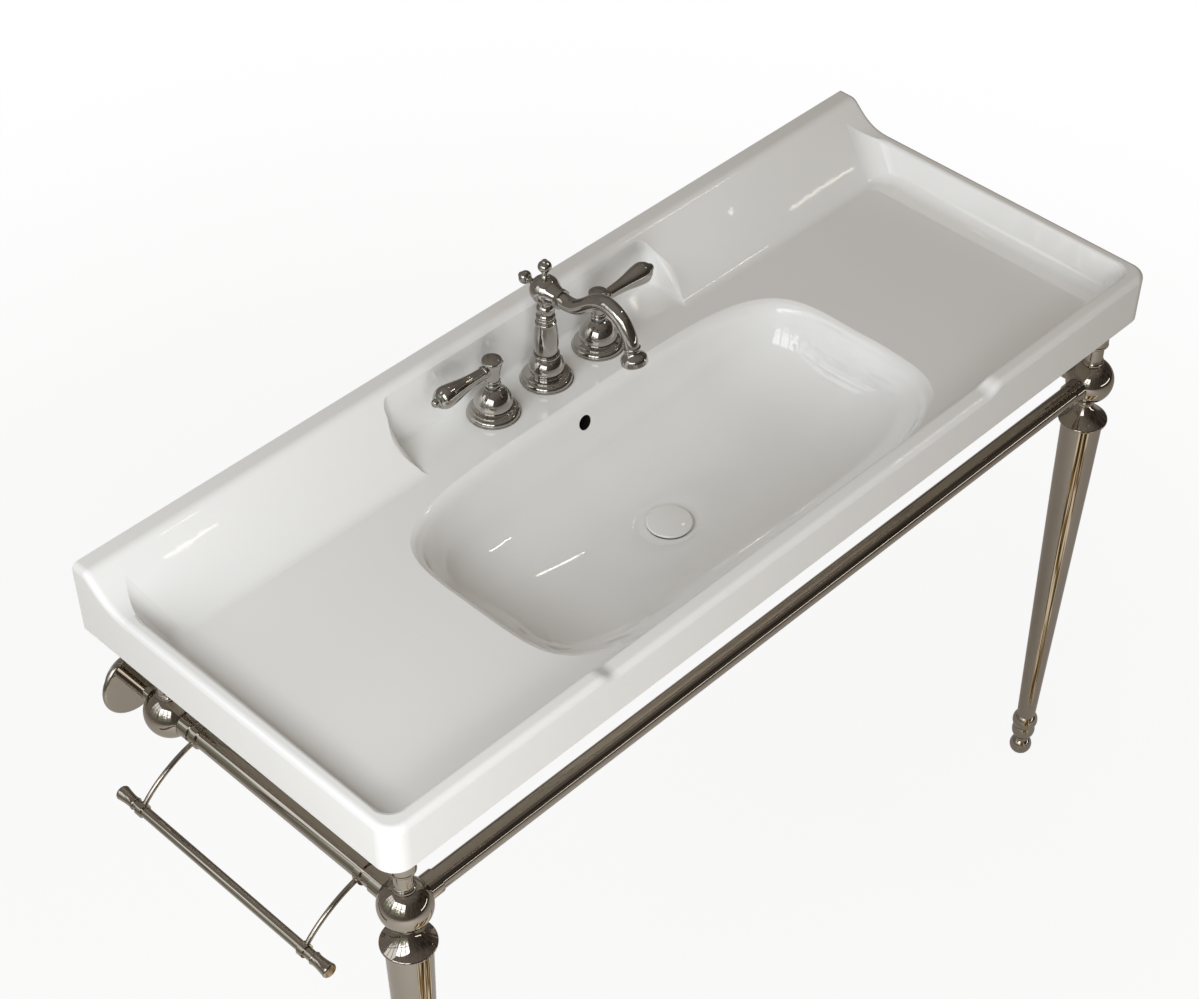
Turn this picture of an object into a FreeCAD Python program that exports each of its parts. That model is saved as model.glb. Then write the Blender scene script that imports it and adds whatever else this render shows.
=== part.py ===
import FreeCAD, Part
import math
import os

# Bathroom sink: a glazed ceramic basin with a bowl between two side trays, carried on a metal
# stand with two turned legs and two wall flanges, with a widespread faucet and a push drain.
# Millimetres. X runs along the basin, Y goes to the wall (the wall plane is y = 0), Z is up and
# z = 0 is the surface of the trays and of the faucet deck.

V = FreeCAD.Vector
os.makedirs("parts", exist_ok=True)

# Basin: outside, rim and raised back. Its depth is the deck, the bowl and the front rim together.
basin_width = 1250.0
bowl_half_width = 159.5
bowl_back = 136.0
bowl_front = 41.0
basin_depth = bowl_back + 2 * bowl_half_width + bowl_front
apron_drop = 25.0
rim_height = 40.0
back_height = 71.0
back_flat = 17.0
back_round = 15.0
ogee_round = 60.0
end_wall = 60.0
slope_foot = 100.0
rim_dip = 8.0
dip_half = 320.0
dip_run = 28.0
front_corner_round = 25.0
rim_outer_round = 8.0
rim_inner_round = 5.0
overcut = 20.0

# Trays and faucet alcove
tray_inset = 31.0
tray_half = basin_width / 2 - tray_inset
tray_side_run = 15.0
tray_front_inset = 34.0
tray_front_foot = basin_depth - tray_front_inset
tray_front_run = 14.0
tray_corner_round = 22.0
tray_rear_round = 36.0
tray_floor_round = 20.0
alcove_half = 219.0
alcove_foot = 40.0
alcove_run = 12.0
alcove_corner_round = 16.0
alcove_floor_round = 6.0
alcove_edge_round = 11.0
alcove_edge_shares = (0.04, 0.38, 0.80)
alcove_tip_share = 0.08
alcove_wall = 15.0

# Bowl, in shares of its half length, half width and depth
bowl_half_length = 319.5
bowl_depth = 103.5
bowl_y = -bowl_back - bowl_half_width
bowl_wall = 11.0
bowl_points = 56
bowl_shares = [
    (0.029, 1.039, 1.078, 0.00, 4.60),
    (0.000, 1.017, 1.034, 0.00, 4.60),
    (-0.024, 1.003, 1.006, 0.00, 4.60),
    (-0.077, 0.989, 0.984, 0.00, 4.50),
    (-0.193, 0.977, 0.967, 0.02, 4.40),
    (-0.367, 0.956, 0.940, 0.06, 4.20),
    (-0.541, 0.920, 0.890, 0.12, 3.90),
    (-0.696, 0.861, 0.806, 0.25, 3.50),
    (-0.821, 0.767, 0.683, 0.45, 3.10),
    (-0.908, 0.626, 0.533, 0.65, 2.70),
    (-0.961, 0.454, 0.395, 0.85, 2.40),
    (-0.990, 0.266, 0.282, 0.95, 2.15),
    (-1.000, 0.125, 0.207, 1.00, 2.00),
]
shell_start_share = 0.04

# Underside of the basin
deck_thickness = 12.0
apron_wall = 24.0
post_boss_radius = 30.0
back_hollow_wall = 12.0
back_hollow_top = 55.0
back_hollow_near = alcove_half + alcove_wall

# Drain and overflow
drain_shift = 13.5
drain_y = bowl_y + drain_shift
drain_hole_radius = 23.0
drain_boss_radius = 40.0
drain_boss_bottom = -134.0
cover_radius = 27.7
cover_overhang = 0.7
drain_fit = 0.5
drain_recess_radius = cover_radius - cover_overhang
drain_flange_radius = drain_recess_radius - drain_fit
drain_recess_depth = 4.5
overflow_z = -31.2
overflow_radius = 9.5
overflow_half = 14.0
overflow_cover = 10.0
overflow_depth = 12.0
overflow_front = overflow_cover - bowl_back
overflow_back = overflow_front + overflow_depth
overflow_duct_height = 10.0
overflow_wall = 8.0
gasket_thickness = 1.5
drain_flange_thickness = 3.0
drain_tube_radius = 21.5
drain_bore_radius = 17.5
drain_seat_radius = 24.0
drain_seat_depth = 4.5
drain_ledge_radius = 15.0
drain_ledge_z = -150.0
drain_ledge_thickness = 2.0
drain_body_bottom = -172.0
drain_slot_width = 9.0
under_gasket_radius = 33.0
under_gasket_thickness = 4.0
drain_washer_radius = 34.0
drain_washer_thickness = 2.0
drain_nut_radius = 33.0
drain_nut_height = 10.0
tailpiece_radius = 15.875
tailpiece_spigot_radius = 15.5
tailpiece_wall = 1.2
tailpiece_bottom = -240.0
cover_height = 5.2
cover_gap = 1.2
cover_seal_inner = 18.5
cover_seal_outer = 22.5
cover_stem_radius = 4.0
cover_stem_bottom = -146.0
cartridge_top = -128.0
cartridge_radius = 9.0
cartridge_ring_wall = 1.9
cartridge_rib = 3.0
cartridge_floor = 2.0

# Fits
slip = 0.05
thread_gap = 0.05
moving_gap = 0.3

# Stand
ball_inset = 39.2
ball_front_inset = 34.2
ball_x = basin_width / 2 - ball_inset
front_y = ball_front_inset - basin_depth
rear_y = -79.2
ball_z = -127.0
ball_radius = 30.5
ball_flat = 27.4
socket_depth = 20.0
rail_radius = 12.7
rail_wall = 1.5
sleeve_radius = 14.5
sleeve_end = 43.0
post_radius = 22.0
post_spigot_radius = 8.0
post_spigot_length = 8.0
stud_radius = 5.0
stud_end_below = 16.0
collar_radius = 31.6
collar_height = 39.1
leg_top_radius = 26.4
leg_shoulder_radius = 24.45
leg_shoulder_drop = 96.5
leg_bottom_radius = 13.0
leg_bottom_z = -754.0
leg_wall = 1.6
leg_cap = 8.0
foot_radius = 17.9
foot_height = 80.0
foot_spigot_radius = 9.0
foot_spigot_length = 14.0
wall_tube_radius = 9.5
wall_tube_wall = 1.5
flange_radius = 42.5
flange_thickness = 6.8
plate_radius = 30.0
plate_thickness = 10.4
plate_socket = 7.0
plate_hole_radius = 2.75
plate_head_radius = 5.0
plate_head_depth = 4.5
plate_hole_circle = 20.0
plate_holes = 3

# Towel bar on the left rail
towel_ring_rear = 52.9
towel_ring_front = 60.9
rail_ring_radius = 15.2
rail_ring_width = 8.0
bar_reach = 89.2
bar_drop = 49.4
bar_radius = 6.35
bar_wall = 1.2
bar_front = 24.8
bar_rear = 21.3
bar_ring_radius = 8.4
bar_ring_width = 8.0
towel_cap_radius = 8.6
towel_cap_length = 26.0
towel_cap_depth = 21.0
rod_radius = 3.0
rod_start_angle = 4.0
rod_end_angle = 56.0

# Faucet: deck positions and plumbing below the deck
faucet_y = -79.2
handle_x = 87.1
deck_hole_radius = 17.0
shank_radius = 13.5
deck_gasket_radius = 24.0
deck_gasket_thickness = 2.0
deck_washer_radius = 22.0
deck_washer_thickness = 2.0
deck_nut_radius = 22.0
deck_nut_height = 10.0
valve_top = 26.0
valve_shank_bottom = -40.0
valve_body_radius = 12.0
valve_body_bottom = -74.0
inlet_radius = 10.4
inlet_bottom = -104.0
inlet_bore_radius = 6.0
cartridge_seat = -20.0
cartridge_body_radius = 9.5
cartridge_neck_radius = 7.0
cartridge_neck_top = 41.0
stem_radius = 4.0
stem_bottom = 4.0
stem_top = 60.0
stem_end_gap = 0.5
crossover_z = -57.0
crossover_radius = 5.0
crossover_bore = 3.5
tee_radius = 14.0
tee_top = -44.0
tee_bottom = -72.0
tee_socket = 8.0
tee_floor = 6.0

# Faucet: handles
escutcheon_radius = 32.4
escutcheon_height = 39.5
escutcheon_hole_radius = 7.4
hub_radius = 12.4
hub_bottom = 42.0
hub_height = 38.4
lever_z = 67.0
lever_start = 8.0
lever_length = 85.0
lever_radius = 13.6
lever_spigot_radius = 3.6
lever_spigot_start = 5.0
lever_spigot_end = 13.0
set_screw_radius = 2.4
set_screw_inner = 6.0
set_screw_outer = 16.5

# Faucet: spout
spout_base_radius = 32.3
spout_base_height = 40.0
spout_socket = 14.0
waterway_radius = 5.0
column_radius = 15.0
column_height = 75.0
head_z = 131.0
head_radius = 18.2
head_neck_start = 8.0
head_neck_radius = 15.2
head_neck_end = 23.0
head_neck_end_radius = 10.4
head_collar_radius = 12.0
head_collar_width = 4.8
finial_radius = 8.2
finial_length = 25.0
finial_start = 17.4
finial_spigot_radius = 2.6
finial_spigot_length = 6.0
arm_reach = 110.0
arm_rise = 36.0
arm_wall = 1.8
arm_end_radius = 8.8
arm_end_angle = 14.0
arm_shares = [
    (0.000, 0.000, 1.068),
    (0.055, -0.011, 1.057),
    (0.127, 0.006, 1.045),
    (0.218, 0.100, 1.045),
    (0.351, 0.400, 1.068),
    (0.468, 0.690, 1.080),
    (0.570, 0.850, 1.068),
    (0.685, 0.872, 1.057),
    (0.802, 0.747, 1.034),
    (0.902, 0.490, 1.011),
    (0.964, 0.200, 1.000),
    (1.000, -0.139, 1.000),
]
outlet_radius = 15.6
outlet_height = 22.0
outlet_bore_radius = 7.0
aerator_radius = 11.0
aerator_height = 9.0
aerator_rise = 0.8
aerator_hole_radius = 1.1
aerator_holes = 8
aerator_hole_circle = 7.0
aerator_inner_share = 0.5

# Turned outlines: (share of the radius, share of the length). Two points are a line, three an
# arc, more a smooth curve. Every outline starts and ends on the axis.
escutcheon_shares = [
    [(0.000, 0.000), (1.000, 0.000)],
    [(1.000, 0.000), (1.000, 0.038)],
    [(1.000, 0.038), (0.972, 0.053)],
    [(0.972, 0.053), (0.941, 0.142), (0.852, 0.195)],
    [(0.852, 0.195), (0.827, 0.206)],
    [(0.827, 0.206), (0.838, 0.237), (0.800, 0.263)],
    [(0.800, 0.263), (0.716, 0.283)],
    [(0.716, 0.283), (0.687, 0.301)],
    [(0.687, 0.301), (0.706, 0.443), (0.643, 0.658), (0.482, 0.851), (0.299, 0.970)],
    [(0.299, 0.970), (0.284, 1.000)],
    [(0.284, 1.000), (0.000, 1.000)],
]
hub_shares = [
    [(0.000, 0.000), (0.693, 0.000)],
    [(0.693, 0.000), (0.798, 0.052), (0.718, 0.104)],
    [(0.718, 0.104), (0.661, 0.146)],
    [(0.661, 0.146), (0.758, 0.188), (0.677, 0.229)],
    [(0.677, 0.229), (0.726, 0.365), (0.823, 0.573), (0.935, 0.750), (0.992, 0.854)],
    [(0.992, 0.854), (1.000, 0.906), (0.935, 0.958)],
    [(0.935, 0.958), (0.690, 0.982), (0.388, 0.996), (0.081, 1.000)],
    [(0.081, 1.000), (0.000, 1.000)],
]
lever_shares = [
    [(0.000, 0.000), (0.544, 0.000)],
    [(0.544, 0.000), (0.544, 0.047)],
    [(0.544, 0.047), (0.618, 0.066), (0.559, 0.085)],
    [(0.559, 0.085), (0.515, 0.101)],
    [
        (0.515, 0.101), (0.559, 0.235), (0.676, 0.424), (0.853, 0.588),
        (0.978, 0.718), (1.000, 0.776), (0.912, 0.840),
    ],
    [(0.912, 0.840), (0.779, 0.864)],
    [(0.779, 0.864), (0.765, 0.882)],
    [(0.765, 0.882), (0.603, 0.899)],
    [(0.603, 0.899), (0.574, 0.918)],
    [(0.574, 0.918), (0.397, 0.932)],
    [(0.397, 0.932), (0.382, 0.958), (0.324, 0.979), (0.191, 0.995), (0.044, 1.000)],
    [(0.044, 1.000), (0.000, 1.000)],
]
spout_base_shares = [
    [(0.000, 0.000), (1.000, 0.000)],
    [(1.000, 0.000), (1.000, 0.038)],
    [(1.000, 0.038), (0.972, 0.053)],
    [(0.972, 0.053), (0.941, 0.142), (0.852, 0.195)],
    [(0.852, 0.195), (0.827, 0.206)],
    [(0.827, 0.206), (0.838, 0.237), (0.793, 0.263)],
    [(0.793, 0.263), (0.640, 0.288)],
    [(0.640, 0.288), (0.604, 0.305)],
    [(0.604, 0.305), (0.656, 0.550), (0.440, 0.860)],
    [(0.440, 0.860), (0.452, 0.885)],
    [(0.452, 0.885), (0.502, 0.940), (0.458, 1.000)],
    [(0.458, 1.000), (0.000, 1.000)],
]
spout_column_shares = [
    [(0.000, 0.000), (0.880, 0.000)],
    [(0.880, 0.000), (0.973, 0.133), (0.987, 0.267), (0.920, 0.427), (0.813, 0.560)],
    [(0.813, 0.560), (0.860, 0.587), (0.813, 0.613)],
    [(0.813, 0.613), (0.667, 0.632)],
    [(0.667, 0.632), (0.773, 0.659), (0.693, 0.685)],
    [(0.693, 0.685), (0.773, 0.712), (0.627, 0.741)],
    [(0.627, 0.741), (0.560, 0.760)],
    [(0.560, 0.760), (0.747, 0.853), (0.533, 0.947)],
    [(0.533, 0.947), (0.560, 1.000)],
    [(0.560, 1.000), (0.000, 1.000)],
]
finial_shares = [
    [(0.000, 0.000), (0.561, 0.000)],
    [(0.561, 0.000), (0.610, 0.050), (0.537, 0.100)],
    [(0.537, 0.100), (0.451, 0.146)],
    [(0.451, 0.146), (0.427, 0.308)],
    [(0.427, 0.308), (0.573, 0.354), (0.476, 0.400)],
    [(0.476, 0.400), (0.830, 0.462), (1.000, 0.580), (0.940, 0.712), (0.640, 0.830)],
    [(0.640, 0.830), (0.480, 0.865)],
    [(0.480, 0.865), (0.440, 0.925), (0.290, 0.978), (0.060, 1.000)],
    [(0.060, 1.000), (0.000, 1.000)],
]
outlet_shares = [
    [(0.000, 0.000), (0.590, 0.000)],
    [(0.590, 0.000), (0.654, -0.073), (0.603, -0.145)],
    [(0.603, -0.145), (0.577, -0.191)],
    [(0.577, -0.191), (0.654, -0.364), (0.859, -0.518), (0.974, -0.636)],
    [(0.974, -0.636), (1.000, -0.727)],
    [(1.000, -0.727), (1.000, -0.927)],
    [(1.000, -0.927), (0.936, -1.000)],
    [(0.936, -1.000), (0.000, -1.000)],
]
drain_cover_shares = [
    [(0.000, 0.000), (0.924, 0.000)],
    [(0.924, 0.000), (1.000, 0.269)],
    [(1.000, 0.269), (1.000, 0.462)],
    [(1.000, 0.462), (0.978, 0.692), (0.924, 0.769)],
    [(0.924, 0.769), (0.700, 0.880), (0.400, 0.965), (0.060, 1.000)],
    [(0.060, 1.000), (0.000, 1.000)],
]
post_shares = [
    [(0.000, 0.000), (0.582, 0.000)],
    [(0.582, 0.000), (0.609, 0.029), (0.582, 0.059)],
    [(0.582, 0.059), (0.545, 0.075)],
    [(0.545, 0.075), (0.564, 0.091), (0.518, 0.107)],
    [(0.518, 0.107), (0.505, 0.126)],
    [(0.505, 0.126), (0.505, 0.381)],
    [(0.505, 0.381), (0.636, 0.391)],
    [(0.636, 0.391), (0.691, 0.421), (0.664, 0.450)],
    [(0.664, 0.450), (0.664, 0.906)],
    [(0.664, 0.906), (0.755, 0.941), (1.000, 0.949)],
    [(1.000, 0.949), (1.000, 1.000)],
    [(1.000, 1.000), (0.000, 1.000)],
]
leg_collar_shares = [
    [(0.000, 0.000), (0.310, 0.000)],
    [(0.310, 0.000), (0.304, -0.087)],
    [(0.304, -0.087), (0.367, -0.164), (0.310, -0.240)],
    [(0.310, -0.240), (0.316, -0.281)],
    [(0.316, -0.281), (0.418, -0.450), (0.639, -0.660), (0.956, -0.849)],
    [(0.956, -0.849), (1.000, -0.905), (0.968, -0.962)],
    [(0.968, -0.962), (0.899, -1.000)],
    [(0.899, -1.000), (0.000, -1.000)],
]
foot_shares = [
    [(0.000, 0.000), (0.726, 0.000)],
    [(0.726, 0.000), (1.000, -0.140), (0.799, -0.285)],
    [(0.799, -0.285), (0.916, -0.420), (0.547, -0.585)],
    [(0.547, -0.585), (0.547, -0.651)],
    [(0.547, -0.651), (0.800, -0.723), (0.883, -0.806), (0.800, -0.890), (0.568, -0.958), (0.251, -1.000)],
    [(0.251, -1.000), (0.000, -1.000)],
]
wall_flange_shares = [
    [(0.000, 0.000), (0.955, 0.000)],
    [(0.955, 0.000), (1.000, 0.412), (0.941, 1.000)],
    [(0.941, 1.000), (0.000, 1.000)],
]
towel_cap_shares = [
    [(0.000, 0.000), (0.860, 0.000)],
    [(0.860, 0.000), (0.907, 0.046), (0.837, 0.092)],
    [(0.837, 0.092), (0.814, 0.308), (0.884, 0.577), (1.000, 0.846)],
    [(1.000, 0.846), (0.988, 0.946), (0.791, 1.000)],
    [(0.791, 1.000), (0.000, 1.000)],
]


def write(name, solids):
    """Write one node; a list of solids becomes a group of separate pieces."""
    shape = solids if not isinstance(solids, list) else Part.makeCompound(solids)
    shape.exportStep("parts/" + name + ".step")


def edge(points):
    """Line, arc or smooth curve through the points."""
    if len(points) == 2:
        return Part.makeLine(points[0], points[1])
    if len(points) == 3:
        return Part.Arc(points[0], points[1], points[2]).toShape()
    curve = Part.BSplineCurve()
    curve.interpolate(points)
    return curve.toShape()


def placed(shape, base, axis):
    """Turn a shape built along +Z to the axis and move it to the base."""
    moved = shape.copy()
    moved.Placement = FreeCAD.Placement(base, FreeCAD.Rotation(V(0, 0, 1), axis))
    return moved


def turned(table, radius, length, base, axis=V(0, 0, 1)):
    """Solid turned about an axis from a table of shares."""
    edges = []
    for segment in table:
        edges.append(edge([V(r * radius, 0, s * length) for r, s in segment]))
    first = table[0][0]
    last = table[-1][-1]
    edges.append(edge([V(0, 0, last[1] * length), V(0, 0, first[1] * length)]))
    solid = Part.Face(Part.Wire(edges)).revolve(V(0, 0, 0), V(0, 0, 1), 360)
    return placed(solid, base, axis)


def rod(radius, start, end):
    """Round bar between two points."""
    return Part.makeCylinder(radius, (end - start).Length, start, end - start)


def tube(radius, bore, start, end):
    """Round tube between two points."""
    return rod(radius, start, end).cut(rod(bore, start, end))


def upright(radius, low, high, x, y):
    """Round bar along Z between two heights."""
    return rod(radius, V(x, y, low), V(x, y, high))


def ring(radius, bore, low, high, x, y):
    """Flat ring about a vertical axis."""
    return upright(radius, low, high, x, y).cut(upright(bore, low, high, x, y))


def hex_nut(radius, bore, low, high, x, y):
    """Hexagon nut about a vertical axis; the radius is measured to the corners."""
    corners = []
    for k in range(7):
        angle = math.radians(60 * k)
        corners.append(V(x + radius * math.cos(angle), y + radius * math.sin(angle), low))
    block = Part.Face(Part.makePolygon(corners)).extrude(V(0, 0, high - low))
    return block.cut(upright(bore, low, high, x, y))


def one(shape):
    """The single solid left by a cut or a join."""
    return shape.Solids[0]


def picked(shape, test):
    """Edges whose bounding box passes the test."""
    return [e for e in shape.Edges if test(e.BoundBox)]


# Basin. The base block holds the trays and the rim; the back is a wedge on top of it.
near = rim_height / 1000
half_width = basin_width / 2


def side_face(x, segments):
    """Face in a plane of constant x from segments of (y, z) points."""
    return Part.Face(Part.Wire([edge([V(x, y, z) for y, z in s]) for s in segments]))


def arc_middle(centre, radius, start, end):
    """Middle point of the short arc from start to end."""
    a = math.atan2(start[1] - centre[1], start[0] - centre[0])
    b = math.atan2(end[1] - centre[1], end[0] - centre[0])
    turn = (b - a + math.pi) % (2 * math.pi) - math.pi
    middle = a + turn / 2
    return (centre[0] + radius * math.cos(middle), centre[1] + radius * math.sin(middle))


# The slope at the back runs from the tray up to the rounded top, and meets that round smoothly
round_centre = (-back_flat, back_height - back_round)
foot_to_round = math.hypot(round_centre[0] + slope_foot, round_centre[1])
slope_angle = math.atan2(round_centre[1], round_centre[0] + slope_foot)
slope_angle = slope_angle + math.asin(back_round / foot_to_round)
slope_length = math.sqrt(foot_to_round ** 2 - back_round ** 2)
slope_top = (-slope_foot + slope_length * math.cos(slope_angle), slope_length * math.sin(slope_angle))
slope_run = 1 / math.tan(slope_angle)
apex = (-back_flat, back_height)

# At each end the slope runs out into the rim in a wide curve
ogee_reach = ogee_round * math.tan(slope_angle / 2)
ogee_meet = -slope_foot + rim_height * slope_run
ogee_end = (ogee_meet - ogee_reach, rim_height)
ogee_start = (
    ogee_meet + ogee_reach * math.cos(slope_angle),
    rim_height + ogee_reach * math.sin(slope_angle),
)
ogee_centre = (ogee_end[0], rim_height + ogee_round)

# Base block with round front corners and the dip in the front rim
block_corner = V(-half_width, -basin_depth, -apron_drop)
block = Part.makeBox(basin_width, basin_depth, rim_height + apron_drop, block_corner)
block = block.makeFillet(
    front_corner_round,
    picked(block, lambda b: b.YMax < -basin_depth + near and b.ZLength > rim_height),
)
dip_inner = dip_half - dip_run / 2
dip_outer = dip_half + dip_run / 2
dip_step = rim_dip / 2
dip_round = ((dip_run / 2) ** 2 + dip_step ** 2) / (2 * dip_step)
dip_angle = math.asin(dip_run / 2 / dip_round) / 2
dip_in = dip_round * math.sin(dip_angle)
dip_up = dip_round * (1 - math.cos(dip_angle))
dip_low = rim_height - rim_dip
dip_mid = rim_height - dip_step
dip_top = rim_height + overcut
dip_outline = [
    [(-dip_inner, dip_low), (dip_inner, dip_low)],
    [(dip_inner, dip_low), (dip_inner + dip_in, dip_low + dip_up), (dip_half, dip_mid)],
    [(dip_half, dip_mid), (dip_outer - dip_in, rim_height - dip_up), (dip_outer, rim_height)],
    [(dip_outer, rim_height), (dip_outer, dip_top)],
    [(dip_outer, dip_top), (-dip_outer, dip_top)],
    [(-dip_outer, dip_top), (-dip_outer, rim_height)],
    [(-dip_outer, rim_height), (-dip_outer + dip_in, rim_height - dip_up), (-dip_half, dip_mid)],
    [(-dip_half, dip_mid), (-dip_inner - dip_in, dip_low + dip_up), (-dip_inner, dip_low)],
]
dip_y = -basin_depth - overcut
dip_wire = Part.Wire([edge([V(x, dip_y, z) for x, z in s]) for s in dip_outline])
dip = Part.Face(dip_wire).extrude(V(0, basin_depth - tray_front_foot + 2 * overcut, 0))
block = one(block.cut(dip))

# Tray pocket: sloping walls all round, soft corners, soft floor edge
pocket_top = back_height + overcut
front_top = -tray_front_foot - tray_front_run * pocket_top / rim_height
rear_top = -slope_foot + pocket_top * slope_run
pocket_sides = [
    [(-slope_foot, 0), (-tray_front_foot, 0)],
    [(-tray_front_foot, 0), (front_top, pocket_top)],
    [(front_top, pocket_top), (rear_top, pocket_top)],
    [(rear_top, pocket_top), (-slope_foot, 0)],
]
pocket_long = side_face(-basin_width, pocket_sides).extrude(V(2 * basin_width, 0, 0))
tray_top = tray_half + tray_side_run * pocket_top / rim_height
pocket_front = Part.makePolygon([
    V(-tray_half, overcut, 0),
    V(tray_half, overcut, 0),
    V(tray_top, overcut, pocket_top),
    V(-tray_top, overcut, pocket_top),
    V(-tray_half, overcut, 0),
])
pocket = pocket_long.common(Part.Face(pocket_front).extrude(V(0, -2 * basin_depth, 0)))
pocket = one(pocket)


def front_corner(b):
    return b.ZMin < near and b.ZLength > near and b.YMax < bowl_y


def rear_corner(b):
    return b.ZMin < near and b.ZLength > near and b.YMin > bowl_y


pocket = pocket.makeFillet(tray_corner_round, picked(pocket, front_corner))
pocket = pocket.makeFillet(tray_rear_round, picked(pocket, rear_corner))
pocket = pocket.makeFillet(tray_floor_round, picked(pocket, lambda b: b.ZMax < near))
block = one(block.cut(pocket))


# Soft outer edge on the rim
def on_rim_outside(b):
    if b.ZMin < dip_low - near or b.YMin > -near:
        return False
    left = b.XMax < -half_width + near
    right = b.XMin > half_width - near
    front = b.YMax < -basin_depth + near
    corner = b.YMax < -basin_depth + front_corner_round + near and b.YMin < -basin_depth + near
    corner = corner and max(-b.XMin, b.XMax) > half_width - near
    return left or right or front or corner


def on_rim_inside(b):
    inside = b.XMin > -half_width + rim_outer_round and b.XMax < half_width - rim_outer_round
    behind = b.YMin > -tray_front_foot - tray_front_run - near
    return inside and behind and b.ZMin > dip_low - near and b.YMax < -near


block = block.makeFillet(rim_outer_round, picked(block, on_rim_outside))
block = block.makeFillet(rim_inner_round, picked(block, on_rim_inside))

# Raised back: the slope between the ends, the ogee at the ends, the tray pocket taken out
wedge_low = rim_height / 4
slope_low = (-slope_foot + wedge_low * slope_run, wedge_low)
back_outline = [
    [(0, wedge_low), slope_low],
    [slope_low, slope_top],
    [slope_top, arc_middle(round_centre, back_round, slope_top, apex), apex],
    [apex, (0, back_height)],
    [(0, back_height), (0, wedge_low)],
]
end_outline = [
    [(0, wedge_low), (ogee_end[0], wedge_low)],
    [(ogee_end[0], wedge_low), ogee_end],
    [ogee_end, arc_middle(ogee_centre, ogee_round, ogee_end, ogee_start), ogee_start],
    [ogee_start, slope_top],
    [slope_top, arc_middle(round_centre, back_round, slope_top, apex), apex],
    [apex, (0, back_height)],
    [(0, back_height), (0, wedge_low)],
]
end_x = half_width - end_wall
back = side_face(-end_x, back_outline).extrude(V(2 * end_x, 0, 0))
left_end = side_face(-half_width, end_outline).extrude(V(end_wall, 0, 0))


def on_end_edge(b):
    return b.XMax < -half_width + near and b.ZMin > rim_height - near and b.YLength > near


left_end = left_end.makeFillet(rim_outer_round, picked(left_end, on_end_edge))
right_end = left_end.mirror(V(0, 0, 0), V(1, 0, 0))
back = back.fuse([left_end, right_end]).removeSplitter()
back = back.cut(pocket)
basin = block.fuse(back).removeSplitter()

# Faucet alcove: an upright back wall and soft corners
alcove_front = -slope_foot - overcut
alcove_top = -alcove_foot + alcove_run * pocket_top / back_height
alcove_sides = [
    [(alcove_front, 0), (-alcove_foot, 0)],
    [(-alcove_foot, 0), (alcove_top, pocket_top)],
    [(alcove_top, pocket_top), (alcove_front, pocket_top)],
    [(alcove_front, pocket_top), (alcove_front, 0)],
]
alcove = side_face(-alcove_half, alcove_sides).extrude(V(2 * alcove_half, 0, 0))
alcove = alcove.makeFillet(
    alcove_corner_round,
    picked(alcove, lambda b: b.ZMin < near and b.ZLength > near and b.YMin > -slope_foot),
)
alcove = alcove.makeFillet(
    alcove_floor_round,
    picked(alcove, lambda b: b.ZMax < near and b.YMax > -slope_foot - overcut / 2),
)
basin = basin.cut(alcove)

# The slope's edge at each end of the alcove is rounded off, most at mid height
slope_along = V(0, math.cos(slope_angle), math.sin(slope_angle))
edge_side = V(alcove_edge_round, 0, 0)
edge_out = V(0, -math.sin(slope_angle), math.cos(slope_angle)) * alcove_edge_round
edge_foot = V(-alcove_half, -slope_foot, 0)
tip_lift = (edge_side + edge_out) * alcove_tip_share
low, middle, high = [edge_foot + slope_along * (share * slope_length) for share in alcove_edge_shares]
round_middle = middle + (edge_side + edge_out) * (math.sqrt(0.5) - 1)
lens_corners = [
    middle - edge_out,
    middle + edge_side,
    middle + edge_side + edge_out,
    middle + edge_out,
    middle - edge_side,
]
lens_edges = [edge([a, b]) for a, b in zip(lens_corners, lens_corners[1:])]
lens_edges.append(edge([middle - edge_side, round_middle, middle - edge_out]))
lens_ends = [Part.Vertex(low + tip_lift), Part.Wire(lens_edges), Part.Vertex(high + tip_lift)]
lens = Part.makeLoft(lens_ends, True, False)
basin = basin.cut([lens, lens.mirror(V(0, 0, 0), V(1, 0, 0))])

# Underside: hollow below the deck and inside the raised back, with a boss at each post
hollow_low = -apron_drop - overcut
hollow = Part.makeBox(
    basin_width - 2 * apron_wall,
    basin_depth - 2 * apron_wall,
    apron_drop + overcut - deck_thickness,
    V(-half_width + apron_wall, -basin_depth + apron_wall, hollow_low),
)
post_places = [(-ball_x, front_y), (ball_x, front_y), (-ball_x, rear_y), (ball_x, rear_y)]
for x, y in post_places:
    hollow = hollow.cut(upright(post_boss_radius, hollow_low, 0, x, y))
basin = basin.cut(hollow)
inner_foot = -slope_foot + back_hollow_wall / math.sin(slope_angle)
cavity_low = -deck_thickness - back_hollow_wall
cavity_front = inner_foot + back_hollow_top * slope_run
hollow_outline = [
    [(-back_hollow_wall, cavity_low), (inner_foot, cavity_low)],
    [(inner_foot, cavity_low), (inner_foot, 0)],
    [(inner_foot, 0), (cavity_front, back_hollow_top)],
    [(cavity_front, back_hollow_top), (-back_hollow_wall, back_hollow_top)],
    [(-back_hollow_wall, back_hollow_top), (-back_hollow_wall, cavity_low)],
]
boss_side = ball_x - post_boss_radius
for start in (-boss_side, back_hollow_near):
    cavity = side_face(start, hollow_outline).extrude(V(boss_side - back_hollow_near, 0, 0))
    basin = basin.cut(cavity)


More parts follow.
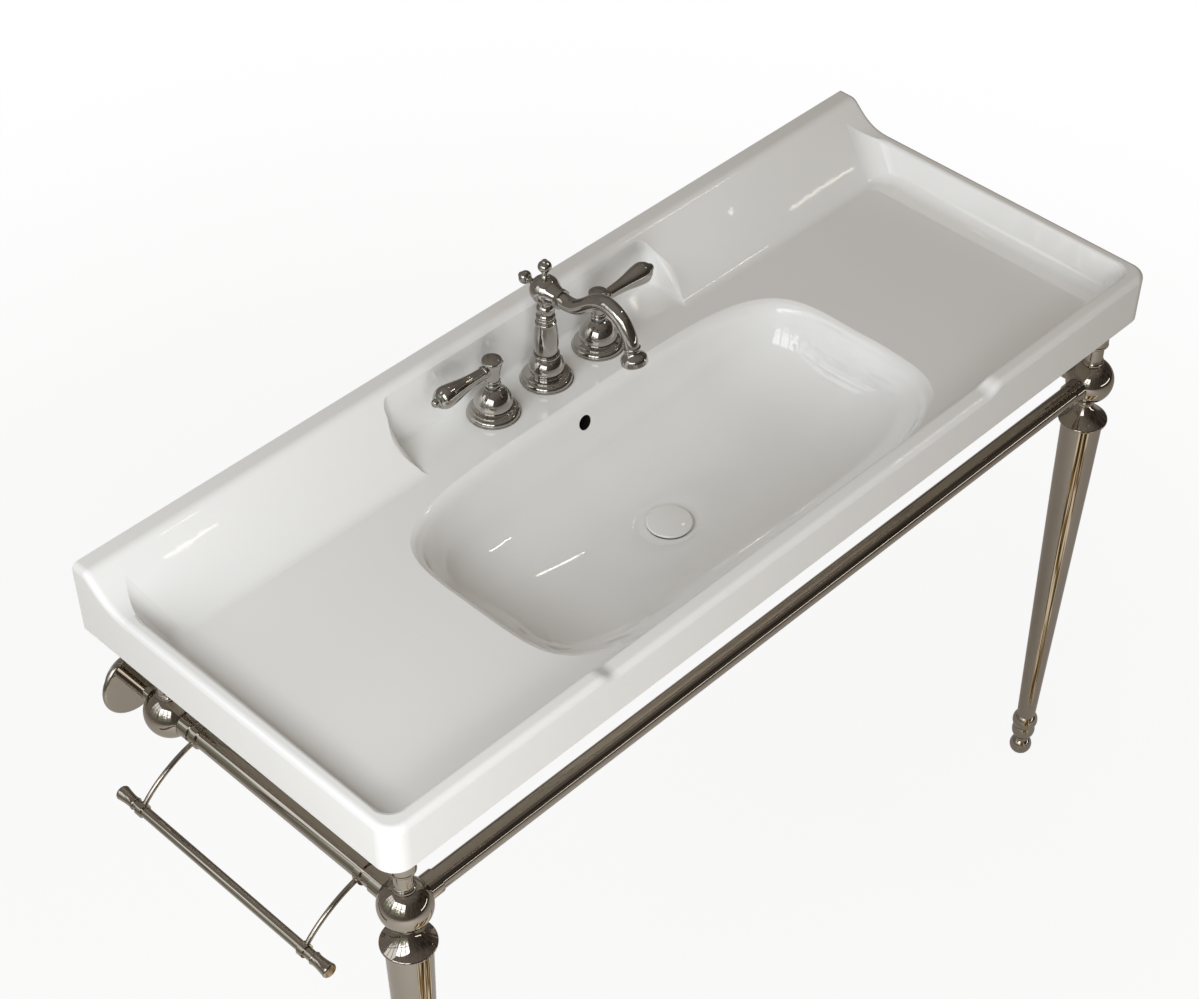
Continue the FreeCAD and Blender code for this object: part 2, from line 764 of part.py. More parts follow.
# Bowl: smooth rounded-rectangle sections from the lip down to the drain seat
def bowl_section(depth_share, length_share, width_share, shift, power, grow, drop):
    a = length_share * bowl_half_length + grow
    b = width_share * bowl_half_width + grow
    middle = bowl_y + (drain_y - bowl_y) * shift
    points = []
    for k in range(bowl_points):
        t = 2 * math.pi * k / bowl_points
        c = math.cos(t)
        s = math.sin(t)
        x = a * math.copysign(abs(c) ** (2 / power), c)
        y = middle + b * math.copysign(abs(s) ** (2 / power), s)
        points.append(V(x, y, depth_share * bowl_depth - drop))
    curve = Part.BSplineCurve()
    curve.interpolate(points, True)
    return Part.Wire([curve.toShape()])


bowl_space = Part.makeLoft([bowl_section(*s, 0, 0) for s in bowl_shares], True, False)
shell_rows = [s for s in bowl_shares if s[0] < -shell_start_share]
shell_top = (-shell_start_share,) + shell_rows[0][1:]
shell_wires = [bowl_section(*shell_top, bowl_wall, 0)]
shell_wires = shell_wires + [bowl_section(*s, bowl_wall, bowl_wall) for s in shell_rows]
bowl_shell = Part.makeLoft(shell_wires, True, False)

# Overflow passage behind the bowl, running down and forward into the drain hole
floor_z = -bowl_depth
duct_top = floor_z - bowl_wall - gasket_thickness
duct_bottom = duct_top - overflow_duct_height
block_half = overflow_half + overflow_wall
block_back = overflow_back + overflow_wall
block_front = overflow_front - overflow_wall
riser = Part.makeBox(
    2 * block_half,
    block_back - block_front,
    -drain_boss_bottom - deck_thickness / 2,
    V(-block_half, block_front, drain_boss_bottom),
)
runner = Part.makeBox(
    2 * block_half,
    block_back - drain_y,
    floor_z - overflow_wall - drain_boss_bottom,
    V(-block_half, drain_y, drain_boss_bottom),
)
boss = upright(drain_boss_radius, drain_boss_bottom, floor_z - gasket_thickness, 0, drain_y)
basin = basin.fuse([bowl_shell, riser, runner, boss])
basin = basin.cut(bowl_space)
riser_space = Part.makeBox(
    2 * overflow_half,
    overflow_back - overflow_front,
    overflow_z + overflow_radius - duct_bottom,
    V(-overflow_half, overflow_front, duct_bottom),
)
duct_space = Part.makeBox(
    2 * overflow_half,
    overflow_back - drain_y,
    overflow_duct_height,
    V(-overflow_half, drain_y, duct_bottom),
)
overflow_mouth = V(0, bowl_y + bowl_half_width - 2 * overcut, overflow_z)
overflow_hole = rod(overflow_radius, overflow_mouth, V(0, overflow_back, overflow_z))
recess = upright(drain_recess_radius, floor_z - drain_recess_depth, floor_z + cover_gap, 0, drain_y)
drain_hole = upright(drain_hole_radius, drain_boss_bottom - overcut, floor_z, 0, drain_y)
cuts = [riser_space, duct_space, overflow_hole, recess, drain_hole]
for x in (-handle_x, 0, handle_x):
    cuts.append(upright(deck_hole_radius, -deck_thickness - overcut, overcut, x, faucet_y))
for tool in cuts:
    basin = basin.cut(tool)
basin = one(basin)
write("basin", basin)

# Drain body: flange in the recess, tube through the basin, slots for the overflow
flange_low = floor_z - drain_flange_thickness
drain_body = upright(drain_flange_radius, flange_low, floor_z, 0, drain_y)
drain_body = drain_body.fuse(upright(drain_tube_radius, drain_body_bottom, flange_low, 0, drain_y))
drain_body = drain_body.cut(upright(drain_bore_radius, drain_ledge_z, floor_z, 0, drain_y))
seat = Part.makeCone(
    drain_bore_radius, drain_seat_radius, drain_seat_depth, V(0, drain_y, floor_z - drain_seat_depth)
)
drain_body = drain_body.cut(seat)
drain_body = drain_body.cut(upright(drain_ledge_radius, drain_body_bottom, drain_ledge_z, 0, drain_y))
tail_top = drain_ledge_z - drain_ledge_thickness
drain_body = drain_body.cut(upright(tailpiece_spigot_radius + slip, drain_body_bottom, tail_top, 0, drain_y))
slot = Part.makeBox(
    2 * drain_hole_radius, drain_slot_width, overflow_duct_height,
    V(-drain_hole_radius, drain_y - drain_slot_width / 2, duct_bottom),
)
drain_body = drain_body.cut(slot)
drain_body = drain_body.cut(slot.copy().rotate(V(0, drain_y, 0), V(0, 0, 1), 90))
write("drain_body", one(drain_body))

gasket_low = flange_low - gasket_thickness
drain_bore = drain_tube_radius + slip
write("drain_top_gasket", ring(drain_flange_radius, drain_bore, gasket_low, flange_low, 0, drain_y))
under_low = drain_boss_bottom - under_gasket_thickness
write("drain_under_gasket", ring(under_gasket_radius, drain_bore, under_low, drain_boss_bottom, 0, drain_y))
washer_low = under_low - drain_washer_thickness
write("drain_washer", ring(drain_washer_radius, drain_bore, washer_low, under_low, 0, drain_y))
nut_low = washer_low - drain_nut_height
write("drain_lock_nut", hex_nut(drain_nut_radius, drain_bore, nut_low, washer_low, 0, drain_y))
tail_bore = tailpiece_radius - tailpiece_wall
tailpiece = ring(tailpiece_radius, tail_bore, tailpiece_bottom, drain_body_bottom, 0, drain_y)
tailpiece = tailpiece.fuse(ring(tailpiece_spigot_radius, tail_bore, drain_body_bottom, tail_top, 0, drain_y))
write("drain_tailpiece", one(tailpiece.removeSplitter()))

# Drain cartridge: a sleeve on three ribs that guides the cover stem
cartridge_ring = drain_bore_radius - slip
cartridge_inside = cartridge_ring - cartridge_ring_wall
cartridge = ring(cartridge_ring, cartridge_inside, drain_ledge_z, cartridge_top, 0, drain_y)
for k in range(3):
    rib = Part.makeBox(
        cartridge_ring - cartridge_ring_wall / 2,
        cartridge_rib,
        cartridge_top - drain_ledge_z,
        V(0, drain_y - cartridge_rib / 2, drain_ledge_z),
    )
    cartridge = cartridge.fuse(rib.rotate(V(0, drain_y, 0), V(0, 0, 1), 120 * k + 30))
cartridge = cartridge.fuse(upright(cartridge_radius, drain_ledge_z, cartridge_top, 0, drain_y))
stem_bore_low = drain_ledge_z + cartridge_floor
cartridge = cartridge.cut(upright(cover_stem_radius + slip, stem_bore_low, cartridge_top, 0, drain_y))
write("drain_cartridge", one(cartridge.removeSplitter()))

# Drain cover with its seal and stem, closed
cover_low = floor_z + cover_gap
cover = turned(drain_cover_shares, cover_radius, cover_height, V(0, drain_y, cover_low))
write("drain_cover", cover)
seal_low = floor_z + moving_gap
write("drain_cover_seal", ring(cover_seal_outer, cover_seal_inner, seal_low, cover_low, 0, drain_y))
write("drain_cover_stem", upright(cover_stem_radius, cover_stem_bottom, cover_low, 0, drain_y))

# Faucet: pieces below the deck, the same at all three holes
gaskets = []
washers = []
nuts = []
deck_low = -deck_thickness
gasket_bottom = deck_low - deck_gasket_thickness
washer_bottom = gasket_bottom - deck_washer_thickness
nut_bottom = washer_bottom - deck_nut_height
shank_bore = shank_radius + thread_gap
for x in (-handle_x, 0, handle_x):
    gaskets.append(ring(deck_gasket_radius, shank_bore, gasket_bottom, deck_low, x, faucet_y))
    washers.append(ring(deck_washer_radius, shank_bore, washer_bottom, gasket_bottom, x, faucet_y))
    nuts.append(hex_nut(deck_nut_radius, shank_bore, nut_bottom, washer_bottom, x, faucet_y))
write("faucet_gaskets", gaskets)
write("faucet_washers", washers)
write("faucet_lock_nuts", nuts)

# Spout shank and the tee that brings both sides together
shank = ring(shank_radius, waterway_radius, tee_top - tee_socket, spout_socket, 0, faucet_y)
write("spout_shank", shank)
tee_body = upright(tee_radius, tee_bottom, tee_top, 0, faucet_y)
tee = tee_body.cut(upright(shank_bore, tee_top - tee_socket, tee_top, 0, faucet_y))
tee_hollow = tee_bottom + tee_floor
tee = tee.cut(upright(waterway_radius, tee_hollow, tee_top, 0, faucet_y))
tee_side = V(tee_radius, faucet_y, crossover_z)
tee = tee.cut(rod(crossover_bore, V(-tee_radius, faucet_y, crossover_z), tee_side))
write("spout_tee", one(tee))

# Both handles: valve body, cartridge and escutcheon are fixed; stem, hub, lever and screw turn
crossovers = []
for side, name in ((-1, "left"), (1, "right")):
    x = side * handle_x
    lower = upright(valve_body_radius, valve_body_bottom, valve_shank_bottom, x, faucet_y)
    inlet = upright(inlet_radius, inlet_bottom, valve_body_bottom, x, faucet_y)
    valve = upright(shank_radius, valve_shank_bottom, valve_top, x, faucet_y).fuse([lower, inlet])
    valve = valve.cut(upright(cartridge_body_radius + slip, cartridge_seat, valve_top, x, faucet_y))
    valve = valve.cut(upright(inlet_bore_radius, inlet_bottom, cartridge_seat, x, faucet_y))
    pipe_start = V(x, faucet_y, crossover_z)
    valve = valve.cut(rod(crossover_bore, pipe_start, V(x - side * shank_radius, faucet_y, crossover_z)))
    write(name + "_valve_body", one(valve))

    pipe_end = V(0, faucet_y, crossover_z)
    pipe = tube(crossover_radius, crossover_bore, pipe_start, pipe_end)
    crossovers.append(one(pipe.cut(lower).cut(tee_body)))

    core = upright(cartridge_body_radius, cartridge_seat, valve_top, x, faucet_y)
    core = core.fuse(upright(cartridge_neck_radius, valve_top, cartridge_neck_top, x, faucet_y))
    core = core.cut(upright(stem_radius + slip, stem_bottom - stem_end_gap, cartridge_neck_top, x, faucet_y))
    write(name + "_cartridge", one(core))

    escutcheon = turned(escutcheon_shares, escutcheon_radius, escutcheon_height, V(x, faucet_y, 0))
    escutcheon = escutcheon.cut(upright(shank_bore, 0, valve_top, x, faucet_y))
    escutcheon = escutcheon.cut(upright(escutcheon_hole_radius, valve_top, escutcheon_height, x, faucet_y))
    write(name + "_escutcheon", one(escutcheon))

    write(name + "_stem", upright(stem_radius, stem_bottom, stem_top, x, faucet_y))

    out = V(side, 0, 0)
    lever_axis = V(x, faucet_y, lever_z)
    hub_solid = turned(hub_shares, hub_radius, hub_height, V(x, faucet_y, hub_bottom))
    hub = hub_solid.cut(upright(stem_radius + slip, hub_bottom, stem_top, x, faucet_y))
    spigot_start = lever_axis + out * lever_spigot_start
    spigot_end = lever_axis + out * lever_spigot_end
    hub = hub.cut(rod(lever_spigot_radius + slip, spigot_start, spigot_end))
    screw_in = lever_axis - out * set_screw_inner
    screw_out = lever_axis - out * set_screw_outer
    hub = hub.cut(rod(set_screw_radius + slip, screw_in, screw_out))
    write(name + "_hub", one(hub))

    lever = turned(lever_shares, lever_radius, lever_length, lever_axis + out * lever_start, out)
    lever = lever.cut(hub_solid)
    lever = lever.fuse(rod(lever_spigot_radius, spigot_start, spigot_end))
    write(name + "_lever", one(lever))
    write(name + "_set_screw", rod(set_screw_radius, screw_in, screw_out))
write("crossover_tubes", crossovers)

# Spout: base, column and head on one axis
spout_base = turned(spout_base_shares, spout_base_radius, spout_base_height, V(0, faucet_y, 0))
spout_base = spout_base.cut(upright(shank_bore, 0, spout_socket, 0, faucet_y))
spout_base = spout_base.cut(upright(waterway_radius, spout_socket, spout_base_height, 0, faucet_y))
write("spout_base", one(spout_base))

column_top = spout_base_height + column_height
column = turned(spout_column_shares, column_radius, column_height, V(0, faucet_y, spout_base_height))
column = column.cut(upright(waterway_radius, spout_base_height, column_top, 0, faucet_y))
write("spout_column", one(column))

head_centre = V(0, faucet_y, head_z)
forward = V(0, -1, 0)
head = Part.makeSphere(head_radius, head_centre)
neck = Part.makeCone(
    head_neck_radius,
    head_neck_end_radius,
    head_neck_end - head_neck_start,
    head_centre + forward * head_neck_start,
    forward,
)
collar_end = head_centre + forward * (head_neck_end + head_collar_width)
head = head.fuse([neck, rod(head_collar_radius, head_centre + forward * head_neck_end, collar_end)])
below_corner = V(-head_radius, faucet_y - head_radius, column_top - head_radius)
below = Part.makeBox(2 * head_radius, 2 * head_radius, head_radius, below_corner)
head = head.cut(below)
head = head.cut(upright(waterway_radius, column_top, head_z, 0, faucet_y))
head = head.cut(rod(waterway_radius, head_centre, collar_end))
head = head.cut(Part.makeSphere(waterway_radius, head_centre))
finials = []
for axis in (V(0, 0, 1), V(0, 1, 0)):
    start = head_centre + axis * finial_start
    finial = turned(finial_shares, finial_radius, finial_length, start, axis)
    spigot_in = start - axis * finial_spigot_length
    spigot = rod(finial_spigot_radius, spigot_in, start)
    head = head.cut(rod(finial_spigot_radius + slip, spigot_in, start + axis * finial_start))
    flat = Part.makeCylinder(head_radius, head_radius, start, axis)
    head = head.cut(flat)
    finials.append(one(finial.fuse(spigot)))
write("spout_head", one(head.removeSplitter()))
write("spout_finials", finials)

# Spout arm: a swan neck that ends leaning a little forward
tilt = math.radians(arm_end_angle)
outlet_axis = V(0, -math.sin(tilt), -math.cos(tilt))


def arm_sections(shrink):
    middles = [V(0, collar_end.y - f * arm_reach, collar_end.z + u * arm_rise) for f, u, r in arm_shares]
    wires = []
    for k in range(len(middles)):
        ahead = middles[min(k + 1, len(middles) - 1)]
        behind = middles[max(k - 1, 0)]
        along = ahead - behind
        if k == 0:
            along = forward
        if k == len(middles) - 1:
            along = outlet_axis
        circle = Part.makeCircle(arm_shares[k][2] * arm_end_radius - shrink, middles[k], along)
        wires.append(Part.Wire([circle]))
    return wires


arm = Part.makeLoft(arm_sections(0), True, False).cut(Part.makeLoft(arm_sections(arm_wall), True, False))
write("spout_arm", one(arm))
arm_end = V(0, collar_end.y - arm_shares[-1][0] * arm_reach, collar_end.z + arm_shares[-1][1] * arm_rise)
outlet_end = arm_end + outlet_axis * outlet_height
outlet = turned(outlet_shares, outlet_radius, outlet_height, arm_end, outlet_axis * -1)
outlet = outlet.cut(rod(outlet_bore_radius, arm_end, outlet_end))
aerator_low = outlet_end - outlet_axis * aerator_rise
aerator_top = aerator_low - outlet_axis * aerator_height
outlet = outlet.cut(rod(aerator_radius + slip, aerator_top, outlet_end))
write("spout_outlet", one(outlet))
aerator = rod(aerator_radius, aerator_low, aerator_top)
across = V(1, 0, 0)
beside = outlet_axis.cross(across)
for k in range(aerator_holes):
    angle = 2 * math.pi * k / aerator_holes
    step = (across * math.cos(angle) + beside * math.sin(angle)) * aerator_hole_circle
    aerator = aerator.cut(rod(aerator_hole_radius, aerator_low + step, aerator_top + step))
    step = step * aerator_inner_share
    aerator = aerator.cut(rod(aerator_hole_radius, aerator_low + step, aerator_top + step))
write("spout_aerator", one(aerator))


# Stand: balls with sockets for what meets in them
def socket(centre, axis, radius, depth):
    return rod(radius, centre + axis * depth, centre + axis * (2 * ball_radius))


def ball_at(x, y, sockets, flats):
    centre = V(x, y, ball_z)
    solid = Part.makeSphere(ball_radius, centre)
    for axis in flats:
        solid = solid.cut(Part.makeCylinder(ball_radius, ball_radius, centre + axis * ball_flat, axis))
    for axis, radius, depth in sockets:
        solid = solid.cut(socket(centre, axis, radius + slip, depth))
    return one(solid)


up = V(0, 0, 1)
down = V(0, 0, -1)
to_wall = V(0, 1, 0)
post_socket = (up, post_spigot_radius, ball_flat - post_spigot_length)
stud_socket = (down, stud_radius, socket_depth)
for side, name in ((-1, "left"), (1, "right")):
    inward = V(-side, 0, 0)
    rail_in = (inward, sleeve_radius, socket_depth)
    side_rail = (to_wall, sleeve_radius, socket_depth)
    front_sockets = [rail_in, side_rail, post_socket, stud_socket]
    write("front_" + name + "_ball", ball_at(side * ball_x, front_y, front_sockets, [up, down]))
    back_rail = (forward, sleeve_radius, socket_depth)
    wall_socket = (to_wall, wall_tube_radius, socket_depth)
    rear_sockets = [back_rail, wall_socket, post_socket]
    write("rear_" + name + "_ball", ball_at(side * ball_x, rear_y, rear_sockets, [up]))

# Rails and the sleeves at their ends
rail_bore = rail_radius - rail_wall
front_start = V(-ball_x + socket_depth, front_y, ball_z)
front_end = V(ball_x - socket_depth, front_y, ball_z)
write("front_rail", tube(rail_radius, rail_bore, front_start, front_end))
sleeves = []
for side, name in ((-1, "left"), (1, "right")):
    rail_start = V(side * ball_x, front_y + socket_depth, ball_z)
    rail_end = V(side * ball_x, rear_y - socket_depth, ball_z)
    write(name + "_rail", tube(rail_radius, rail_bore, rail_start, rail_end))
    sleeve_length = sleeve_end - socket_depth
    inward = V(-side, 0, 0)
    front_socket = V(side * (ball_x - socket_depth), front_y, ball_z)
    for start, axis in ((front_socket, inward), (rail_start, to_wall), (rail_end, forward)):
        sleeves.append(tube(sleeve_radius, rail_radius + slip, start, start + axis * sleeve_length))
write("rail_sleeves", sleeves)

# Posts between the balls and the basin
post_low = ball_z + ball_flat
post_height = -apron_drop - post_low
posts = []
for x, y in post_places:
    post = turned(post_shares, post_radius, post_height, V(x, y, post_low))
    spigot = upright(post_spigot_radius, post_low - post_spigot_length, post_low, x, y)
    posts.append(one(post.fuse(spigot)))
write("posts", posts)

# Legs: collar under the ball, tapered tube, turned foot, and a stud through ball, collar and leg
collar_top = ball_z - ball_flat
leg_top = collar_top - collar_height
shoulder_z = leg_top - leg_shoulder_drop
collars = []
feet = []
studs = []
for side, name in ((-1, "left"), (1, "right")):
    x = side * ball_x
    hole = upright(stud_radius + slip, leg_top - leg_cap, collar_top, x, front_y)
    collar = turned(leg_collar_shares, collar_radius, collar_height, V(x, front_y, collar_top))
    collars.append(one(collar.cut(hole)))
    leg_bottom = V(x, front_y, leg_bottom_z)
    shoulder = V(x, front_y, shoulder_z)
    lower_length = shoulder_z - leg_bottom_z
    lower = Part.makeCone(leg_bottom_radius, leg_shoulder_radius, lower_length, leg_bottom)
    upper = Part.makeCone(leg_shoulder_radius, leg_top_radius, leg_shoulder_drop, shoulder)
    bottom_bore = leg_bottom_radius - leg_wall
    shoulder_bore = leg_shoulder_radius - leg_wall
    lower_space = Part.makeCone(bottom_bore, shoulder_bore, lower_length, leg_bottom)
    top_bore = leg_top_radius - leg_wall
    upper_space = Part.makeCone(shoulder_bore, top_bore, leg_shoulder_drop - leg_cap, shoulder)
    leg = lower.fuse(upper).cut(lower_space).cut(upper_space).cut(hole)
    write(name + "_leg", one(leg))
    foot = turned(foot_shares, foot_radius, foot_height, V(x, front_y, leg_bottom_z))
    spigot = upright(foot_spigot_radius, leg_bottom_z, leg_bottom_z + foot_spigot_length, x, front_y)
    feet.append(one(foot.fuse(spigot)))
    studs.append(upright(stud_radius, leg_top - stud_end_below, ball_z - socket_depth, x, front_y))
write("leg_collars", collars)
write("feet", feet)
write("leg_studs", studs)

# Wall side: tube from the rear ball, plate screwed to the wall, round flange in front of the plate
tubes = []
flanges = []
plates = []
for side in (-1, 1):
    wall_point = V(side * ball_x, 0, ball_z)
    tube_start = V(side * ball_x, rear_y + socket_depth, ball_z)
    tube_end = wall_point + forward * (plate_thickness - plate_socket)
    tubes.append(tube(wall_tube_radius, wall_tube_radius - wall_tube_wall, tube_start, tube_end))
    plate_face = wall_point + forward * plate_thickness
    flange = turned(wall_flange_shares, flange_radius, flange_thickness, plate_face, forward)
    flange = flange.cut(rod(wall_tube_radius + slip, plate_face, plate_face + forward * flange_thickness))
    flanges.append(one(flange))
    plate = rod(plate_radius, wall_point, plate_face)
    plate = plate.cut(rod(wall_tube_radius + slip, tube_end, plate_face))
    for k in range(plate_holes):
        angle = 2 * math.pi * k / plate_holes + math.pi / 2
        step = V(plate_hole_circle * math.cos(angle), 0, plate_hole_circle * math.sin(angle))
        plate = plate.cut(rod(plate_hole_radius, wall_point + step, plate_face + step))
        head_end = plate_face + step - forward * plate_head_depth
        plate = plate.cut(rod(plate_head_radius, head_end, plate_face + step))
    plates.append(one(plate))
write("wall_tubes", tubes)
write("wall_flanges", flanges)
write("wall_plates", plates)

# Towel bar: two rings on the left rail, two curved rods, two rings on the bar, two end caps
bar_x = -ball_x - bar_reach
bar_z = ball_z - bar_drop
bar_front_y = front_y + bar_front
bar_rear_y = rear_y - bar_rear
write(
    "towel_bar",
    tube(bar_radius, bar_radius - bar_wall, V(bar_x, bar_front_y, bar_z), V(bar_x, bar_rear_y, bar_z)),
)
start_angle = math.radians(rod_start_angle)
end_angle = math.radians(rod_end_angle)
rod_run = -ball_x - bar_x
rod_curve = [V(-ball_x, 0, ball_z), V(bar_x, 0, bar_z)]
rod_leaves = V(-math.cos(start_angle), 0, -math.sin(start_angle))
rod_arrives = V(-math.cos(end_angle), 0, -math.sin(end_angle))
rods = []
rail_rings = []
bar_rings = []
for y in (rear_y - towel_ring_rear, front_y + towel_ring_front):
    shift = V(0, y, 0)
    rail_point = rod_curve[0] + shift
    bar_point = rod_curve[1] + shift
    curve = Part.BezierCurve()
    curve.setPoles([
        rail_point,
        rail_point + rod_leaves * (rod_run / 3),
        bar_point - rod_arrives * (rod_run / 3),
        bar_point,
    ])
    path = Part.Wire([curve.toShape()])
    outline = Part.Wire([Part.makeCircle(rod_radius, rail_point, rod_leaves)])
    bent = path.makePipeShell([outline], True, True)
    width = V(0, rail_ring_width / 2, 0)
    rail_outer = rod(rail_ring_radius, rail_point - width * 2, rail_point + width * 2)
    bar_outer = rod(bar_ring_radius, bar_point - width * 2, bar_point + width * 2)
    rods.append(one(bent.cut(rail_outer).cut(bar_outer)))
    rail_rings.append(tube(rail_ring_radius, rail_radius + slip, rail_point - width, rail_point + width))
    width = V(0, bar_ring_width / 2, 0)
    bar_rings.append(tube(bar_ring_radius, bar_radius + slip, bar_point - width, bar_point + width))
write("towel_rods", rods)
write("towel_rail_rings", rail_rings)
write("towel_bar_rings", bar_rings)

caps = []
for end_y, axis in ((bar_front_y, forward), (bar_rear_y, to_wall)):
    bar_end = V(bar_x, end_y, bar_z)
    cap_start = bar_end - axis * towel_cap_depth
    cap = turned(towel_cap_shares, towel_cap_radius, towel_cap_length, cap_start, axis)
    caps.append(one(cap.cut(rod(bar_radius + slip, cap_start, bar_end))))
write("towel_bar_end_caps", caps)
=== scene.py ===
import bpy
import math
from mathutils import Matrix, Vector


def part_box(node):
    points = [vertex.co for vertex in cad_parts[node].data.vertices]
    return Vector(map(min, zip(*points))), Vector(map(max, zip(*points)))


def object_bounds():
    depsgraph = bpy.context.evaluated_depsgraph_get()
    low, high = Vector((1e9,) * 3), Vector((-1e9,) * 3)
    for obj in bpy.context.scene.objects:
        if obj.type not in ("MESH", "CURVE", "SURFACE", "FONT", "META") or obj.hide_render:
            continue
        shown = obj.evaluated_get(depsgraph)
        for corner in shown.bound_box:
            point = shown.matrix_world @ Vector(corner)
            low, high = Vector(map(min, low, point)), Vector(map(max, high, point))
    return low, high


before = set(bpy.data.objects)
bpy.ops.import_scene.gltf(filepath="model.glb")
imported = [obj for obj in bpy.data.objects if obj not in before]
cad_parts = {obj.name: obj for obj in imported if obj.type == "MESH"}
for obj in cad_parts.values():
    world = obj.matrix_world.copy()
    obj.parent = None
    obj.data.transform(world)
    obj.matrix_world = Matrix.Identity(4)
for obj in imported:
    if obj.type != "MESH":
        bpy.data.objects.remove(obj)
cad_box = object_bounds()


# Legs, collars and feet. Each front leg is a tapered brass tube with a spun collar on top and a
# solid turned foot below, polished on the lathe and nickel plated, so the finest buffing lines
# run round them. A steel stud through ball, collar and leg head holds them together.
class Wire:
    """One output in a finish's node tree. Sums with numbers or other wires add Math nodes."""

    def __init__(self, tree, socket=None):
        self.tree = tree
        self.socket = socket

    def add(self, kind, settings, sockets, output=0):
        """Add a node: its settings first, then the values or links of its sockets."""
        made = self.tree.nodes.new(kind)
        for name, value in settings.items():
            setattr(made, name, value)
        for name, value in sockets.items():
            if isinstance(value, Wire):
                self.tree.links.new(value.socket, made.inputs[name])
            else:
                made.inputs[name].default_value = value
        return Wire(self.tree, made.outputs[output])

    def sum(self, operation, first, second):
        return self.add("ShaderNodeMath", {"operation": operation}, {0: first, 1: second})

    def __add__(self, other):
        return self.sum("ADD", self, other)

    def __radd__(self, other):
        return self.sum("ADD", other, self)

    def __sub__(self, other):
        return self.sum("SUBTRACT", self, other)

    def __rsub__(self, other):
        return self.sum("SUBTRACT", other, self)

    def __mul__(self, other):
        return self.sum("MULTIPLY", self, other)

    def __rmul__(self, other):
        return self.sum("MULTIPLY", other, self)


def new_finish(name):
    """A material, its shader, and a wire that carries the place on the piece in metres."""
    material = bpy.data.materials.new(name)
    material.use_nodes = True
    tree = material.node_tree
    place = Wire(tree).add("ShaderNodeTexCoord", {}, {}, "Object")
    return material, tree.nodes["Principled BSDF"], place


def feed(wire, shader, socket):
    wire.tree.links.new(wire.socket, shader.inputs[socket])


def clouds(place, scale=1.0, detail=4.0, rough=0.5):
    """Cloudy values about 0.5, so many lumps to the metre."""
    sockets = {"Vector": place, "Scale": scale, "Detail": detail, "Roughness": rough}
    return place.add("ShaderNodeTexNoise", {}, sockets, "Fac")


def stretched(place, x, y, z):
    """The place with each axis multiplied, so that clouds on it run in lines."""
    return place.add("ShaderNodeVectorMath", {"operation": "MULTIPLY"}, {0: place, 1: (x, y, z)})


def stepped(wire, low, high):
    """0 below low, 1 above high, smooth between."""
    sockets = {"Value": wire, "From Min": low, "From Max": high}
    return wire.add("ShaderNodeMapRange", {"interpolation_type": "SMOOTHSTEP"}, sockets, "Result")


def mixed(wire, first, second):
    """A colour between two, by a wire that runs from 0 to 1."""
    return wire.add("ShaderNodeMix", {"data_type": "RGBA"}, {0: wire, 6: first, 7: second}, 2)


def bumped(wire, shader, strength, depth):
    sockets = {"Height": wire, "Strength": strength, "Distance": depth}
    feed(wire.add("ShaderNodeBump", {}, sockets, "Normal"), shader, "Normal")


def nickel(name, lines, dark, light):
    """Polished nickel plate. The lines say how fine the buffing is along each axis."""
    material, shader, place = new_finish(name)
    shader.inputs["Metallic"].default_value = 1.0
    tone = clouds(place, scale=7.0, detail=3.0)
    feed(mixed(tone, dark, light), shader, "Base Color")
    hair = clouds(stretched(place, *lines), detail=3.0, rough=0.6)
    smudge = stepped(clouds(place, scale=24.0, detail=2.0), 0.50, 0.78)
    feed(0.015 + 0.02 * hair + 0.04 * smudge, shader, "Roughness")
    bumped(hair, shader, strength=0.004, depth=0.0001)
    return material


def dress(material, *names):
    """Give CAD nodes their finish."""
    for name in names:
        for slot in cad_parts[name].material_slots:
            slot.material = material


warm_nickel = (0.40, 0.36, 0.312, 1), (0.45, 0.408, 0.358, 1)
buffed_round = (4.0, 4.0, 1500.0)
turned_nickel = nickel("turned_nickel", buffed_round, *warm_nickel)
dress(turned_nickel, "left_leg", "right_leg", "leg_collars", "feet")


def steel(name, lines):
    """Plain stainless steel with the grain of rolling or turning."""
    material, shader, place = new_finish(name)
    shader.inputs["Metallic"].default_value = 1.0
    grain = clouds(stretched(place, *lines), rough=0.6)
    tone = clouds(place, scale=90.0, detail=6.0)
    feed(mixed(tone, (0.46, 0.46, 0.455, 1), (0.60, 0.60, 0.61, 1)), shader, "Base Color")
    feed(0.20 + 0.22 * grain, shader, "Roughness")
    bumped(grain, shader, strength=0.12, depth=0.0002)
    return material


turned_steel = steel("turned_steel", lines=(60.0, 60.0, 2400.0))
dress(turned_steel, "leg_studs")

# Balls and posts. The balls are turned from solid brass and bored for what meets in them; the
# posts are turned too, and carry a flat flange against the underside of the basin.
dress(turned_nickel, "front_left_ball", "front_right_ball", "rear_left_ball", "rear_right_ball")
dress(turned_nickel, "posts")

# Rails, sleeves and wall tubes. Drawn brass tube, buffed along its length and nickel plated;
# short sleeves slide over the rail ends and into the balls.
buffed_across = (2.0, 1500.0, 1500.0)
buffed_deep = (1500.0, 2.0, 1500.0)
tube_across = nickel("nickel_tube_across", buffed_across, *warm_nickel)
tube_deep = nickel("nickel_tube_deep", buffed_deep, *warm_nickel)
dress(tube_across, "front_rail")
dress(tube_deep, "left_rail", "right_rail", "rail_sleeves", "wall_tubes")

# Wall flanges and plates. A thick steel plate with three screw holes takes the end of each wall
# tube, and a spun disc, nickel plated, slides along the tube to cover it.
dress(tube_across, "wall_flanges")
dress(steel("rolled_steel", lines=(60.0, 1800.0, 1800.0)), "wall_plates")

